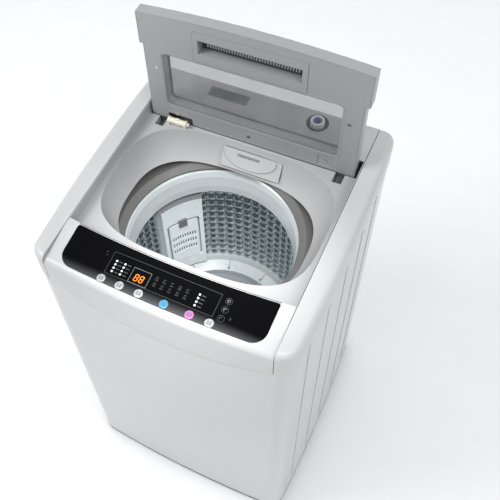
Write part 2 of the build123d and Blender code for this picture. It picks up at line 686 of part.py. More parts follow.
# ---- tub, drum and drive ------------------------------------------------------------
def outer_tub():
    """Plastic water tub with stiffening hoops and bosses for the bracket."""
    inner = TUB_R - TUB_WALL
    floor = TUB_FLOOR_Z
    tub = turned([(31, floor), (TUB_R, floor), (TUB_R, TUB_RIM_Z - 6), (TUB_R + 6, TUB_RIM_Z - 6),
                  (TUB_R + 6, TUB_RIM_Z), (inner, TUB_RIM_Z), (inner, floor + 4), (31, floor + 4)])
    for z in (470, 560, 650, 740):
        tub += sleeve(0, TUB_Y, z, z + 4, TUB_R + 4, TUB_R - 1)
    tub -= post(0, TUB_Y, floor + 4, 900, inner)
    for x, y in BRACKET_BOSSES:
        tub += sleeve(x, y, BRACKET_Z + 4, floor + 1, 9, 3)
    return tub - post(VALVE_X, VALVE_Y, 300, floor + 10, 16)


def tub_lugs():
    """Four brackets on the tub wall that rest on the suspension springs."""
    lugs = Part()
    for x, y in ROD_SPOTS:
        angle = math.degrees(math.atan2(y - TUB_Y, x))
        turn = Pos(0, TUB_Y, 0) * Rot(0, 0, angle)
        lugs += turn * Pos(240, 0, (LUG_Z0 + LUG_Z1) / 2) * Box(64, 34, LUG_Z1 - LUG_Z0)
        lugs += turn * Pos(222, 0, LUG_Z1 + 20) * Box(26, 5, 42)
    lugs -= post(0, TUB_Y, 300, 500, TUB_R)
    for x, y in ROD_SPOTS:
        lugs -= post(x, y, 300, 500, ROD_R + 3)
    return lugs


BRACKET_Z = 338.0
BRACKET_BOSSES = [(-95, -105), (95, -105), (-95, 140), (95, 140)]


def tub_ring():
    """Splash ring that closes the gap between tub and drum."""
    return turned([(166, 784), (166, 787.5), (176.5, 797.2), (179, 798), (181.5, 797.2), (204, 790.5),
                   (TUB_R + 6, 790.5), (TUB_R + 6, TUB_RIM_Z), (204, TUB_RIM_Z), (181, 793),
                   (178, 793.4), (169, 784)])


def tub_bracket():
    """Steel plate that carries gearbox and motor under the tub."""
    plate = block(-110, 110, -120, 160, BRACKET_Z, BRACKET_Z + 4)
    plate -= post(0, TUB_Y, 300, 400, 31)
    plate -= post(0, MOTOR_Y, 300, 400, 40)
    for x, y in BRACKET_BOSSES:
        plate -= post(x, y, 300, 400, 3)
    plate += block(-110, -106, -120, 160, BRACKET_Z - 12, BRACKET_Z)
    return plate + block(106, 110, -120, 160, BRACKET_Z - 12, BRACKET_Z)


def gearbox_housing():
    """Cast housing of the reduction gear with a long upper neck for the bearings."""
    outer = [(0, 196), (30, 196), (78, 206), (78, 330), (90, 332), (90, BRACKET_Z), (29, BRACKET_Z),
             (29, 378), (0, 378)]
    cavity = [(0, 210), (71, 210), (71, 326), (0, 326)]
    body = turned(outer) - turned(cavity)
    body -= post(0, TUB_Y, 320, 400, 22.05)
    body += sleeve(0, TUB_Y, 362, 378, 29, 19)
    return body - post(0, TUB_Y, 190, 220, 8 + RUN_CLEARANCE)


def shaft_bearings():
    """Upper and lower ball bearings of the spin shaft."""
    bearings = Part()
    for z in (328, 348):
        bearings += sleeve(0, TUB_Y, z, z + 12, 22, SPIN_R + RUN_CLEARANCE)
    return bearings


def spin_shaft():
    """Hollow shaft that carries the drum, with its flange and clutch drum."""
    shaft = post(0, TUB_Y, 300, 398, SPIN_R) + post(0, TUB_Y, 388, 398, 62)
    shaft += post(0, TUB_Y, 250, 304, 58) - post(0, TUB_Y, 240, 299, 53)
    return shaft - post(0, TUB_Y, 200, 400, WASH_R + RUN_CLEARANCE)


def wash_shaft():
    """Solid shaft from the gears to the pulsator."""
    return post(0, TUB_Y, 262, 424, WASH_R) + post(0, TUB_Y, 262, 276, 44)


def drive_pulley():
    """Large grooved pulley on the gearbox input shaft."""
    pulley = turned([(8, 158), (18, 158), (18, 163), (56, 163), (56, PULLEY_Z0), (70, PULLEY_Z0),
                     (70, BELT_Z0 - 1), (61.5, BELT_Z0 - 1), (61.5, BELT_Z1 + 1), (70, BELT_Z1 + 1),
                     (70, PULLEY_Z1), (56, PULLEY_Z1), (56, 169), (18, 169), (18, 182), (8, 182)])
    for i in range(5):
        x, y = ring_at(37, 72 * i)
        pulley -= post(x, y, 150, 180, 11)
    return pulley + post(0, TUB_Y, 150, 248, 8)


def motor():
    """Induction motor hung under the bracket."""
    case = turned([(0, 190), (30, 190), (56, 200), (56, 296), (30, 306), (0, 306)], 0, MOTOR_Y)
    case -= turned([(0, 194), (51, 204), (51, 292), (0, 302)], 0, MOTOR_Y)
    for i in range(4):
        a = math.radians(45 + 90 * i)
        x, y = 46 * math.cos(a), MOTOR_Y + 46 * math.sin(a)
        case += post(x, y, 294, BRACKET_Z, 6) - turned(
            [(0, 194), (51, 204), (51, 292), (0, 302)], 0, MOTOR_Y)
    return case - post(0, MOTOR_Y, 180, 200, 7 + RUN_CLEARANCE)


def motor_rotor():
    """Rotor, shaft and small pulley of the motor."""
    rotor = post(0, MOTOR_Y, 150, 290, 7) + post(0, MOTOR_Y, 212, 284, 38)
    return rotor + turned([(7, PULLEY_Z0), (22, PULLEY_Z0), (22, BELT_Z0 - 1), (13.5, BELT_Z0 - 1),
                           (13.5, BELT_Z1 + 1), (22, BELT_Z1 + 1), (22, PULLEY_Z1),
                           (7, PULLEY_Z1)], 0, MOTOR_Y)


def belt_loop(grow):
    big = Pos(0, TUB_Y) * Circle(62.3 + grow)
    small = Pos(0, MOTOR_Y) * Circle(14.3 + grow)
    return extrude(Pos(0, 0, BELT_Z0) * make_hull(big.edges() + small.edges()), BELT_Z1 - BELT_Z0)


def drive_belt():
    """Belt round the two pulleys."""
    return belt_loop(6.0) - belt_loop(0)


def drum_basket():
    """Stainless side wall of the spin drum."""
    return sleeve(0, TUB_Y, DRUM_Z0, DRUM_Z1, DRUM_R, DRUM_R - DRUM_WALL)


def balance_ring():
    """Hollow liquid ring round the drum mouth."""
    bore = RING_BORE_R
    outer = DRUM_R - DRUM_WALL - 0.1
    return turned([(bore, 722), (bore + 0.5, 740), (bore + 4, 765), (bore + 8, 776), (bore + 13, 780),
                   (184, 780), (190, 778), (190, DRUM_Z1), (outer, DRUM_Z1), (outer, 722)])


def drum_base():
    """Dished plastic floor of the drum."""
    outer = DRUM_R - DRUM_WALL - 0.1
    base = turned([(9.2, 398), (outer, 398), (outer, 430), (184.5, 431), (181, 427), (176, 419),
                   (153, 409), (149, DISH_Z), (9.2, DISH_Z)])
    base -= turned([(outer - 1, 390), (outer + 9, 390), (outer + 9, DRUM_Z0 - 0.1),
                    (outer - 1, DRUM_Z0 - 0.1)])
    for i in range(12):
        x, y = ring_at(166, 30 * i + 15)
        base += Pos(x, y, 414) * Rot(0, 0, 30 * i + 15) * Box(20, 4, 14)
    return base


def filter_wedge(r0, r1, half_deg, z0, z1):
    """Slab that follows the drum wall at the lint filter."""
    a0, a1 = FILTER_DEG - half_deg, FILTER_DEG + half_deg
    p = [ring_at(r1, a0), ring_at(r1, FILTER_DEG), ring_at(r1, a1)]
    q = [ring_at(r0, a1), ring_at(r0, FILTER_DEG), ring_at(r0, a0)]
    face = make_face([ThreePointArc(*p), Line(p[2], q[0]), ThreePointArc(*q), Line(q[2], p[0])])
    return extrude(Pos(0, 0, z0) * face, z1 - z0)


def filter_pins(radius, t0, t1):
    """Two short bars on the filter's pivot line, either side of its middle."""
    a = math.radians(FILTER_DEG)
    middle = (FILTER_PIVOT_R * math.cos(a), TUB_Y + FILTER_PIVOT_R * math.sin(a), FILTER_PIVOT_Z)
    across = Plane(origin=middle, z_dir=(-math.sin(a), math.cos(a), 0))
    pins = Part()
    for side in (-1, 1):
        pins += across * Pos(0, 0, side * (t0 + t1) / 2) * Cylinder(radius, t1 - t0)
    return pins


def filter_roof(drop):
    """Space above the sloping top of the filter column."""
    return turned([(120, 686 - drop), (164, 686 - drop), (180, 704 - drop), (180, 720), (120, 720)])


def lint_filter_frame():
    """Water column on the drum wall that holds the lint filter."""
    wall = DRUM_R - DRUM_WALL - 0.2
    frame = filter_wedge(166, wall, 16.5, 432, 703) - filter_roof(0)
    frame -= filter_wedge(168.5, wall - 3, 14.5, 431, 700) - filter_roof(4)
    frame -= filter_wedge(150, 169, 13.3, 469, 622)
    return frame - filter_pins(FILTER_PIN_R + RUN_CLEARANCE, 29, 42)


def lint_filter_cassette():
    """Removable filter with a latch tab and rows of slots."""
    tray = filter_wedge(165, 176, 11.8, 471, 621)
    tray -= filter_wedge(167.5, 180, 10.4, 474, 618)
    tray += filter_wedge(161.5, 165.5, 3.2, 604, 632)
    tray += filter_pins(FILTER_PIN_R, 30, 41)
    for row in range(3):
        for k in range(10):
            a = FILTER_DEG - 9.2 + 2.05 * k
            x, y = ring_at(166, a)
            tray -= Pos(x, y, FILTER_ROW_Z - FILTER_ROW_STEP * row) * Rot(0, 0, a) * Box(8, 2.4, 15)
    return tray


def pulsator():
    """Wash plate with curved vanes and a raised hub under a domed cap."""
    r = PULSATOR_R
    plate = turned([(WASH_R, 408), (r - 4, 408), (r, 412), (r, 419), (r - 3, 420), (r - 8, 414),
                    (60, 413), (34, 424), (26, 432), (16, 434), (14, 437.5), (0, 439), (0, 424),
                    (WASH_R, 424)])
    for i in range(6):
        a = 60 * i + 20
        vane = Box(104, 16, 16)
        vane = fillet(vane.edges().filter_by(Axis.X).group_by(Axis.Z)[-1], 6)
        plate += Pos(0, TUB_Y, 417) * Rot(0, 0, a) * Pos(82, 0, 0) * vane
    for i in range(6):
        x, y = ring_at(122, 60 * i + 50)
        plate -= post(x, y, 400, 440, 5)
    return plate - post(0, TUB_Y, 400, 424, WASH_R)


def drain_valve():
    """Valve body under the tub with a downward spigot for the hose."""
    floor = TUB_FLOOR_Z
    valve = post(VALVE_X, VALVE_Y, 304, floor, 27) - post(VALVE_X, VALVE_Y, 310, floor + 1, 20)
    valve += sleeve(VALVE_X, VALVE_Y, 264, 306, 14, 11)
    valve -= post(VALVE_X, VALVE_Y, 260, 320, 11)
    valve += bar_y(VALVE_X, VALVE_Y + 22, VALVE_Y + 44, 328, 12)
    return valve - bar_y(VALVE_X, VALVE_Y + 10, VALVE_Y + 50, 328, 5 + RUN_CLEARANCE)


def drain_plunger():
    """Pull rod of the drain valve."""
    rod = bar_y(VALVE_X, VALVE_Y + 14, VALVE_Y + 62, 328, 5)
    return rod + block(VALVE_X - 7, VALVE_X + 7, VALVE_Y + 62, VALVE_Y + 72, 320, 336)


def drain_motor():
    """Pull motor that opens the drain valve."""
    y0 = VALVE_Y + 90
    unit = block(VALVE_X - 18, VALVE_X + 18, y0, y0 + 44, 308, 344)
    return unit + block(VALVE_X - 10, VALVE_X + 10, y0 + 6, y0 + 38, 344, TUB_FLOOR_Z)


def suspension_rods():
    """Four hanging rods with a ball head above and a cup below for the spring."""
    rods = Part()
    z = SPRING_Z0
    for x, y in ROD_SPOTS:
        rods += post(x, y, z - 12, HANGER_Z + 6, ROD_R)
        rods += Pos(x, y, HANGER_Z + 3) * (Sphere(9) & Pos(0, 0, 10) * Box(40, 40, 20))
        rods += turned([(0, z - 6), (20, z - 6), (22, z + 4), (20, z + 4), (19, z), (0, z)], x, y)
    return rods


def suspension_springs():
    """Four coil springs between the cups and the tub lugs."""
    springs = Part()
    low = SPRING_Z0 + SPRING_WIRE + 0.2
    high = LUG_Z0 - SPRING_WIRE - 0.4
    coil = Helix(pitch=9.2, height=high - low, radius=SPRING_R)
    wire = Plane(origin=coil @ 0, z_dir=coil % 0) * Circle(SPRING_WIRE)
    spring = sweep(wire, path=coil)
    for x, y in ROD_SPOTS:
        springs += Pos(x, y, low) * spring
    return springs


NODES = {
    "cabinet_wrap": cabinet_wrap,
    "rear_panel": rear_panel,
    "rear_access_cover": rear_access_cover,
    "base_frame": base_frame,
    "fixed_feet": fixed_feet,
    "leveling_foot": leveling_foot,
    "corner_hangers": corner_hangers,
    "side_rail_left": lambda: side_rail(-1),
    "side_rail_right": lambda: side_rail(1),
    "control_fascia": control_fascia,
    "panel_overlay": panel_overlay,
    "control_board": control_board,
    "rear_deck": rear_deck,
    "tub_surround": tub_surround,
    "rear_gutter": rear_gutter,
    "drawer_bay": drawer_bay,
    "hinge_pins": hinge_pins,
    "lid_damper": lid_damper,
    "detergent_drawer": detergent_drawer,
    "inlet_valve": inlet_valve,
    "inlet_filter": inlet_filter,
    "pressure_switch": pressure_switch,
    "cord_gland": cord_gland,
    "drain_outlet": drain_outlet,
    "drain_hose": drain_hose,
    "lid_outer_shell": lid_outer_shell,
    "lid_inner_frame": lid_inner_frame,
    "lid_window": lid_window,
    "lid_handle_insert": lid_handle_insert,
    "lid_screws": lid_screws,
    "lid_hinge_arms": lid_hinge_arms,
    "outer_tub": outer_tub,
    "tub_lugs": tub_lugs,
    "tub_ring": tub_ring,
    "tub_bracket": tub_bracket,
    "gearbox_housing": gearbox_housing,
    "shaft_bearings": shaft_bearings,
    "spin_shaft": spin_shaft,
    "wash_shaft": wash_shaft,
    "drive_pulley": drive_pulley,
    "motor": motor,
    "motor_rotor": motor_rotor,
    "drive_belt": drive_belt,
    "drum_basket": drum_basket,
    "balance_ring": balance_ring,
    "drum_base": drum_base,
    "lint_filter_frame": lint_filter_frame,
    "lint_filter_cassette": lint_filter_cassette,
    "pulsator": pulsator,
    "drain_valve": drain_valve,
    "drain_plunger": drain_plunger,
    "drain_motor": drain_motor,
    "suspension_rods": suspension_rods,
    "suspension_springs": suspension_springs,
}

BUTTON_NAMES = ["button_power", "button_start", "button_program", "button_water", "button_wash",
                "button_spin"]


def main():
    os.makedirs("parts", exist_ok=True)
    for name, make in NODES.items():
        export_step(make(), "parts/" + name + ".step")
    for name, x in zip(BUTTON_NAMES, BUTTON_XS):
        export_step(push_button(x), "parts/" + name + ".step")


main()
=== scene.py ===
import math

import bpy
import bmesh
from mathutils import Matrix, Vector


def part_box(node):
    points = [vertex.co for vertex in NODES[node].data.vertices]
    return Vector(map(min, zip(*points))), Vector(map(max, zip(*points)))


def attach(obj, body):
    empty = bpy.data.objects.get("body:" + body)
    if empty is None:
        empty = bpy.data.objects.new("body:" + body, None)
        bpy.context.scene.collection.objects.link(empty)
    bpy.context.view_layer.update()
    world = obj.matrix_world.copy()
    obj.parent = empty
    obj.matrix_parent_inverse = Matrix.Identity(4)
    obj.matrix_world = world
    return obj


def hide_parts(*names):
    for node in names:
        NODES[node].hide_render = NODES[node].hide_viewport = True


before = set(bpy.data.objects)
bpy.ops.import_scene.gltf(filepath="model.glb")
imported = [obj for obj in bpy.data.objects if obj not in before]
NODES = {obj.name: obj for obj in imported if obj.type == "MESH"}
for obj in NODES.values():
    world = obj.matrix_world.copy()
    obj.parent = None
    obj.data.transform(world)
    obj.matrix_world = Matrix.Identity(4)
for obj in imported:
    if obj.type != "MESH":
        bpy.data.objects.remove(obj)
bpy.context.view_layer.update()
MM = 0.001

# ---- places taken from the frame ------------------------------------------------------
OVERLAY_LO, OVERLAY_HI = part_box("panel_overlay")
PANEL_TOP = OVERLAY_HI[2]
PANEL_BEND_Y = -172 * MM      # the panel slopes down in front of this line
PANEL_SLOPE = 0.115
PRINT_SINK = 0.05 * MM        # prints start this far inside the panel
DRUM_LO, DRUM_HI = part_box("drum_basket")
AXIS_X = (DRUM_LO[0] + DRUM_HI[0]) / 2
AXIS_Y = (DRUM_LO[1] + DRUM_HI[1]) / 2
DRUM_R = (DRUM_HI[0] - DRUM_LO[0]) / 2
NOZZLE_LO, NOZZLE_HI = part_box("inlet_filter")
NOZZLE_X = (NOZZLE_LO[0] + NOZZLE_HI[0]) / 2
NOZZLE_Y = (NOZZLE_LO[1] + NOZZLE_HI[1]) / 2
DECK_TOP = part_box("rear_deck")[1][2]
LID_FACE_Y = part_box("lid_inner_frame")[0][1]
BUTTONS = ["button_power", "button_start", "button_program", "button_water", "button_wash",
           "button_spin"]


def box_centre(node):
    lo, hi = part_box(node)
    return [(a + b) / 2 for a, b in zip(lo, hi)]


# ---- materials ------------------------------------------------------------------------
SURFACE_IOR = 1.46
PANEL_IOR = 1.13
PANE_IOR = 1.30
PANE_ALPHA = 0.34
COAT_ROUGHNESS = 0.08
GLOSS_SCALE = 45.0


class Nodes:
    """Small wrapper that makes and links shader nodes."""

    def __init__(self, name):
        self.mat = bpy.data.materials.new(name)
        self.mat.use_nodes = True
        self.tree = self.mat.node_tree
        self.tree.nodes.clear()
        self.out = self.add("OutputMaterial")
        self.shader = self.add("BsdfPrincipled")
        self.link(self.shader, "BSDF", self.out, "Surface")
        self.coord = self.add("TexCoord")

    def add(self, kind, **settings):
        node = self.tree.nodes.new("ShaderNode" + kind)
        for key, value in settings.items():
            setattr(node, key, value)
        return node

    def link(self, a, a_socket, b, b_socket):
        self.tree.links.new(a.outputs[a_socket], b.inputs[b_socket])

    def noise(self, scale, detail=3.0, stretch=(1, 1, 1)):
        mapping = self.add("Mapping")
        mapping.inputs["Scale"].default_value = stretch
        self.link(self.coord, "Object", mapping, "Vector")
        noise = self.add("TexNoise")
        noise.inputs["Scale"].default_value = scale
        noise.inputs["Detail"].default_value = detail
        self.link(mapping, "Vector", noise, "Vector")
        return noise

    def ramp(self, source, socket, stops):
        ramp = self.add("ValToRGB")
        elements = ramp.color_ramp.elements
        while len(elements) < len(stops):
            elements.new(0.5)
        for element, (position, colour) in zip(elements, stops):
            element.position = position
            element.color = tuple(colour) + (1.0,) if len(colour) == 3 else colour
        self.link(source, socket, ramp, "Fac")
        return ramp

    def value_range(self, source, socket, low, high):
        node = self.add("MapRange")
        node.inputs["To Min"].default_value = low
        node.inputs["To Max"].default_value = high
        self.link(source, socket, node, "Value")
        return node


def shade(rgb, factor):
    return tuple(min(1.0, c * factor) for c in rgb)


def surface(name, rgb, rough, metallic=0.0, mottle=0.03, mottle_scale=7.0, rough_swing=0.06,
            grain=0.12, grain_scale=900.0, grain_depth=0.00005, stretch=(1, 1, 1), coat=0.0,
            round_edge=0.0):
    """General procedural finish: uneven tone, uneven gloss and a fine grain."""
    n = Nodes(name)
    tone = n.noise(mottle_scale, 4.0, stretch)
    ramp = n.ramp(tone, "Fac", [(0.3, shade(rgb, 1 - mottle)), (0.7, shade(rgb, 1 + mottle))])
    n.link(ramp, "Color", n.shader, "Base Color")
    gloss = n.noise(GLOSS_SCALE, 3.0, stretch)
    swing = n.value_range(gloss, "Fac", rough - rough_swing, rough + rough_swing)
    n.link(swing, "Result", n.shader, "Roughness")
    fine = n.noise(grain_scale, 2.0, stretch)
    bump = n.add("Bump")
    bump.inputs["Strength"].default_value = grain
    bump.inputs["Distance"].default_value = grain_depth
    n.link(fine, "Fac", bump, "Height")
    if round_edge:
        bevel = n.add("Bevel", samples=4)
        bevel.inputs["Radius"].default_value = round_edge
        n.link(bevel, "Normal", bump, "Normal")
    n.link(bump, "Normal", n.shader, "Normal")
    n.shader.inputs["Metallic"].default_value = metallic
    n.shader.inputs["IOR"].default_value = SURFACE_IOR
    n.shader.inputs["Coat Weight"].default_value = coat
    n.shader.inputs["Coat Roughness"].default_value = COAT_ROUGHNESS
    return n.mat


def panel_gloss():
    """Black panel whose front strip fades to grey, with faint dust in the gloss."""
    n = Nodes("panel_gloss_black")
    split = n.add("SeparateXYZ")
    n.link(n.coord, "Object", split, "Vector")
    along = n.add("MapRange")
    along.inputs["From Min"].default_value = OVERLAY_LO[1]
    along.inputs["From Max"].default_value = OVERLAY_HI[1]
    n.link(split, "Y", along, "Value")
    ramp = n.ramp(along, "Result", [(0.0, (0.08, 0.08, 0.083)), (0.10, (0.038, 0.038, 0.04)),
                                    (0.19, (0.010, 0.010, 0.011)), (0.24, (0.002, 0.002, 0.0025))])
    n.link(ramp, "Color", n.shader, "Base Color")
    dust = n.noise(260.0, 5.0)
    swing = n.value_range(dust, "Fac", 0.12, 0.26)
    n.link(swing, "Result", n.shader, "Roughness")
    ripple = n.noise(25.0, 2.0)
    bump = n.add("Bump")
    bump.inputs["Strength"].default_value = 0.04
    bump.inputs["Distance"].default_value = 0.0002
    n.link(ripple, "Fac", bump, "Height")
    n.link(bump, "Normal", n.shader, "Normal")
    n.shader.inputs["IOR"].default_value = PANEL_IOR
    return n.mat


def clear_pane():
    """Slightly grey clear plastic."""
    n = Nodes("clear_pane")
    smear = n.noise(30.0, 4.0)
    swing = n.value_range(smear, "Fac", 0.03, 0.10)
    n.link(swing, "Result", n.shader, "Roughness")
    tone = n.ramp(smear, "Fac", [(0.3, (0.10, 0.105, 0.105)), (0.7, (0.18, 0.19, 0.19))])
    n.link(tone, "Color", n.shader, "Base Color")
    n.shader.inputs["IOR"].default_value = PANE_IOR
    n.shader.inputs["Alpha"].default_value = PANE_ALPHA
    return n.mat


def glow(name, rgb, strength):
    """Lit lamp or display segment with a slightly brighter core."""
    n = Nodes(name)
    tone = n.noise(900.0, 2.0)
    ramp = n.ramp(tone, "Fac", [(0.2, shade(rgb, 0.85)), (0.8, rgb)])
    n.link(ramp, "Color", n.shader, "Base Color")
    n.link(ramp, "Color", n.shader, "Emission Color")
    n.shader.inputs["Emission Strength"].default_value = strength
    n.shader.inputs["Roughness"].default_value = 0.4
    return n.mat


def materials():
    white = (0.47, 0.475, 0.485)
    m = {}
    m["paint"] = surface("cabinet_paint_white", white, 0.30, grain=0.10, grain_scale=420.0,
                         grain_depth=0.00012, mottle=0.012, coat=0.25, rough_swing=0.04)
    m["frame"] = surface("frame_plastic_white", (0.48, 0.48, 0.485), 0.34, mottle=0.015,
                         round_edge=0.0012, grain_scale=1100.0)
    m["deck"] = surface("deck_plastic_grey", (0.45, 0.45, 0.455), 0.36, mottle=0.02,
                        round_edge=0.0012, grain_scale=1100.0)
    m["lid"] = surface("lid_plastic_silver", (0.31, 0.31, 0.315), 0.38, mottle=0.02,
                       round_edge=0.0012, grain_scale=1300.0)
    m["recess"] = surface("recess_plastic_grey", (0.40, 0.40, 0.405), 0.34, mottle=0.02,
                          round_edge=0.0012)
    # painted shade: dark for the handle slot's bed, the gap above the filter cassette and the drop
    # behind the panel
    m["slot_bed"] = surface("handle_slot_bed", (0.05, 0.05, 0.052), 0.5)
    m["panel"] = panel_gloss()
    m["pane"] = clear_pane()
    m["drum"] = surface("drum_stainless", (0.62, 0.675, 0.69), 0.10, metallic=1.0, mottle=0.05,
                        rough_swing=0.03, stretch=(1, 1, 8), grain=0.06, grain_scale=300.0)
    m["steel"] = surface("bright_steel", (0.62, 0.63, 0.64), 0.28, metallic=1.0,
                         stretch=(1, 1, 12), grain=0.10)
    m["zinc"] = surface("zinc_plated_steel", (0.56, 0.57, 0.56), 0.42, metallic=1.0, mottle=0.12,
                        mottle_scale=60.0, round_edge=0.0006)
    m["cast"] = surface("cast_alloy", (0.50, 0.51, 0.52), 0.55, metallic=1.0, mottle=0.08,
                        grain=0.5, grain_scale=500.0, grain_depth=0.0003, round_edge=0.001)
    m["motor"] = surface("motor_enamel", (0.10, 0.105, 0.11), 0.45, grain=0.3, round_edge=0.001)
    m["tub"] = surface("tub_plastic", (0.66, 0.67, 0.66), 0.45, mottle=0.04)
    m["ring"] = surface("tub_ring_grey", (0.13, 0.128, 0.125), 0.42, mottle=0.05)
    m["balance"] = surface("balance_ring_grey", (0.56, 0.60, 0.61), 0.20, mottle=0.02, coat=0.3)
    m["drum_white"] = surface("drum_base_white", (0.40, 0.435, 0.44), 0.28, mottle=0.02,
                              round_edge=0.0015)
    m["pulsator"] = surface("pulsator_grey", (0.20, 0.225, 0.24), 0.30, mottle=0.03,
                            round_edge=0.0015)
    m["filter"] = surface("filter_white", (0.80, 0.86, 0.87), 0.26, mottle=0.02,
                          round_edge=0.0008)
    # grey of the real latch, also used as painted shade on the filter column's sloping top
    m["latch"] = surface("filter_latch_grey_and_top_shade", (0.16, 0.17, 0.18), 0.35, round_edge=0.0005)
    m["button"] = surface("button_white", (0.36, 0.365, 0.38), 0.30)
    m["button_blue"] = surface("button_blue", (0.05, 0.24, 0.42), 0.30)
    m["button_pink"] = surface("button_pink", (0.36, 0.14, 0.33), 0.30)
    m["board"] = surface("board_green", (0.04, 0.16, 0.07), 0.40, mottle=0.2, mottle_scale=300.0)
    m["cream"] = surface("damper_cream", (0.74, 0.69, 0.58), 0.40, mottle=0.03,
                         round_edge=0.0006)
    m["valve"] = surface("valve_white", (0.78, 0.78, 0.77), 0.35, round_edge=0.0006)
    m["strainer"] = surface("strainer_blue", (0.05, 0.16, 0.50), 0.30, mottle=0.1)
    # real dark plastic for the base and drain parts, also painted shade in the inlet well
    m["dark"] = surface("dark_plastic", (0.025, 0.025, 0.028), 0.48, mottle=0.1, grain=0.3,
                        round_edge=0.0008)
    # painted shade: near-black for the dark discs in place of the drum's holes and the sheet
    # behind the filter slots
    m["shadow"] = surface("painted_shade_black", (0.006, 0.006, 0.006), 0.7, mottle=0.1)
    m["hose"] = surface("hose_grey", (0.30, 0.31, 0.32), 0.50, mottle=0.06)
    m["rubber"] = surface("foot_rubber", (0.03, 0.03, 0.032), 0.75, mottle=0.15, grain=0.5,
                          grain_depth=0.0002)
    m["print_dim"] = surface("print_dim", (0.035, 0.036, 0.038), 0.5)
    m["print_grey"] = surface("print_grey", (0.13, 0.135, 0.14), 0.5)
    m["mark"] = surface("button_mark_grey", (0.10, 0.10, 0.105), 0.5)
    m["plate"] = surface("plate_foil", (0.17, 0.175, 0.185), 0.36, metallic=0.2, mottle=0.04,
                         mottle_scale=80.0)
    m["lamp"] = glow("lamp_white", (0.70, 0.72, 0.74), 0.35)
    m["digit"] = glow("digit_orange", (1.0, 0.22, 0.01), 0.85)
    return m


M = materials()
FINISH = {
    "paint": ["cabinet_wrap", "rear_panel", "rear_access_cover"],
    "frame": ["side_rail_left", "side_rail_right", "control_fascia"],
    "deck": ["rear_deck"],
    "lid": ["lid_outer_shell", "lid_inner_frame", "lid_handle_insert", "lid_hinge_arms"],
    "recess": ["tub_surround", "rear_gutter", "drawer_bay", "detergent_drawer"],
    "panel": ["panel_overlay"],
    "pane": ["lid_window"],
    "steel": ["spin_shaft", "wash_shaft", "shaft_bearings", "hinge_pins", "lid_screws"],
    "zinc": ["corner_hangers", "tub_bracket", "suspension_rods", "suspension_springs",
             "motor_rotor"],
    "cast": ["gearbox_housing", "drive_pulley"],
    "motor": ["motor"],
    "tub": ["outer_tub", "tub_lugs", "drain_valve", "drain_outlet"],
    "ring": ["tub_ring"],
    "balance": ["balance_ring"],
    "drum_white": ["drum_base"],
    "pulsator": ["pulsator"],
    "filter": ["lint_filter_frame", "lint_filter_cassette"],
    "button": ["button_power", "button_start", "button_program", "button_spin"],
    "button_blue": ["button_water"],
    "button_pink": ["button_wash"],
    "board": ["control_board"],
    "cream": ["lid_damper"],
    "valve": ["inlet_valve"],
    "strainer": ["inlet_filter"],
    "dark": ["base_frame", "pressure_switch", "cord_gland", "drain_plunger", "drain_motor"],
    "hose": ["drain_hose"],
    "rubber": ["fixed_feet", "leveling_foot", "drive_belt"],
}


def finish_cad_nodes():
    for key, names in FINISH.items():
        for name in names:
            for slot in NODES[name].material_slots:
                slot.material = M[key]


# ---- mesh helpers ---------------------------------------------------------------------
LATHE_STEPS = 96
CORNER_STEPS = 6


def piece(name, bm, body, keys, smooth=True):
    """Turns a bmesh into an object that rides on a body."""
    mesh = bpy.data.meshes.new(name)
    bmesh.ops.recalc_face_normals(bm, faces=bm.faces)
    bm.to_mesh(mesh)
    bm.free()
    for key in keys:
        mesh.materials.append(M[key])
    for polygon in mesh.polygons:
        polygon.use_smooth = smooth
    obj = bpy.data.objects.new(name, mesh)
    bpy.context.scene.collection.objects.link(obj)
    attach(obj, body)
    return obj


def lathe(bm, profile, x, y):
    """Closed ring from (radius, height) corners turned about an upright axis."""
    rings = []
    for i in range(LATHE_STEPS):
        a = 2 * math.pi * i / LATHE_STEPS
        rings.append([bm.verts.new((x + r * math.cos(a), y + r * math.sin(a), z))
                      for r, z in profile])
    count = len(profile)
    for i in range(LATHE_STEPS):
        a, b = rings[i], rings[(i + 1) % LATHE_STEPS]
        for j in range(count):
            k = (j + 1) % count
            bm.faces.new((a[j], b[j], b[k], a[k]))


def prism(bm, low, high, material=0):
    """Closed solid between two outlines with the same number of points."""
    a = [bm.verts.new(p) for p in low]
    b = [bm.verts.new(p) for p in high]
    faces = [bm.faces.new(a[::-1]), bm.faces.new(b)]
    for i in range(len(a)):
        j = (i + 1) % len(a)
        faces.append(bm.faces.new((a[i], a[j], b[j], b[i])))
    for face in faces:
        face.material_index = material


def panel_z(y):
    return PANEL_TOP - max(0.0, PANEL_BEND_Y - y) * PANEL_SLOPE


def panel_patch(bm, outline, material, thick=0.15 * MM):
    """Thin printed shape that lies on the sloping panel."""
    low = [(x, y, panel_z(y) - PRINT_SINK) for x, y in outline]
    high = [(x, y, panel_z(y) + thick) for x, y in outline]
    prism(bm, low, high, material)


def rect(x, y, w, h):
    return [(x - w / 2, y - h / 2), (x + w / 2, y - h / 2),
            (x + w / 2, y + h / 2), (x - w / 2, y + h / 2)]


def arc_strip(x, y, r0, r1, start, end, steps=28):
    """Outline pieces of a ring or part ring."""
    strips = []
    for i in range(steps):
        a = math.radians(start + (end - start) * i / steps)
        b = math.radians(start + (end - start) * (i + 1) / steps)
        strips.append([(x + r0 * math.cos(a), y + r0 * math.sin(a)),
                       (x + r1 * math.cos(a), y + r1 * math.sin(a)),
                       (x + r1 * math.cos(b), y + r1 * math.sin(b)),
                       (x + r0 * math.cos(b), y + r0 * math.sin(b))])
    return strips


# ---- drum -----------------------------------------------------------------------------
DRUM_COLUMNS = 60
DRUM_ROW = 22.5 * MM
COLUMN_STEPS = 10
ROW_STEPS = 8
PILLOW_DEPTH = 4.4 * MM
SHEET = 0.9 * MM
PATTERN_START = 22 * MM       # height of the first pillow row above the drum's foot
PATTERN_MARGIN = 34 * MM      # plain height at foot and top together
HOLE_ROWS = 13
HOLE_R = 1.5 * MM


